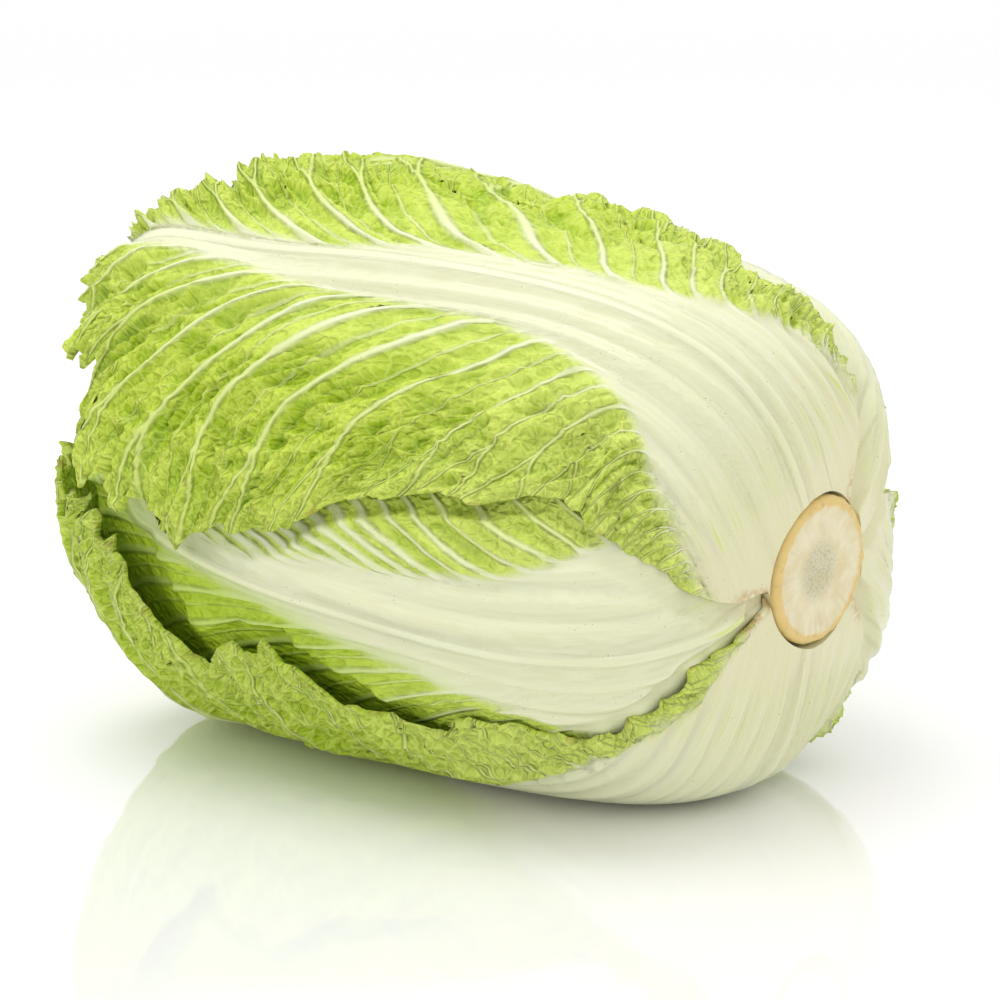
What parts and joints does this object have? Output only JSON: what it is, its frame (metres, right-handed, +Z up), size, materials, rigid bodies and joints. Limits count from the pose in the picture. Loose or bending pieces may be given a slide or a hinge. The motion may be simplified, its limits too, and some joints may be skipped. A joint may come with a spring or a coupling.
{
  "type": "chinese cabbage",
  "caption": "Whole head of Chinese cabbage lying on its side: white-ribbed, crinkled green leaves wrapped round a dense heart, with the stem cut flat.",
  "frame": {"origin": "middle of the head's box, on the surface that the head lies on", "axes": "+X along the head toward the cut stem, +Z up, -Y the front of the head"},
  "size_m": [0.1982, 0.1742, 0.1535],
  "materials": {
    "outer_leaf": "crisp moist leaf, satin: ivory-white rib and veins, fresh yellow-green crinkled blade",
    "inner_leaf": "crisp moist leaf, satin: white rib, pale yellow-green crinkled blade",
    "heart": "pale yellow folded leaf tips, satin",
    "cut_stem": "cut plant tissue: cream with fine radial fibres and a dried tan rim, matte"
  },
  "bodies": {
    "root": {"outer_leaf_1": "outer_leaf", "outer_leaf_2": "outer_leaf", "outer_leaf_3": "outer_leaf", "outer_leaf_4": "outer_leaf", "outer_leaf_5": "outer_leaf", "inner_leaf_1": "inner_leaf", "inner_leaf_2": "inner_leaf", "inner_leaf_3": "inner_leaf", "inner_leaf_4": "inner_leaf", "inner_leaf_5": "inner_leaf", "heart": "heart", "cut_stem": "cut_stem"}
  },
  "joints": []
}
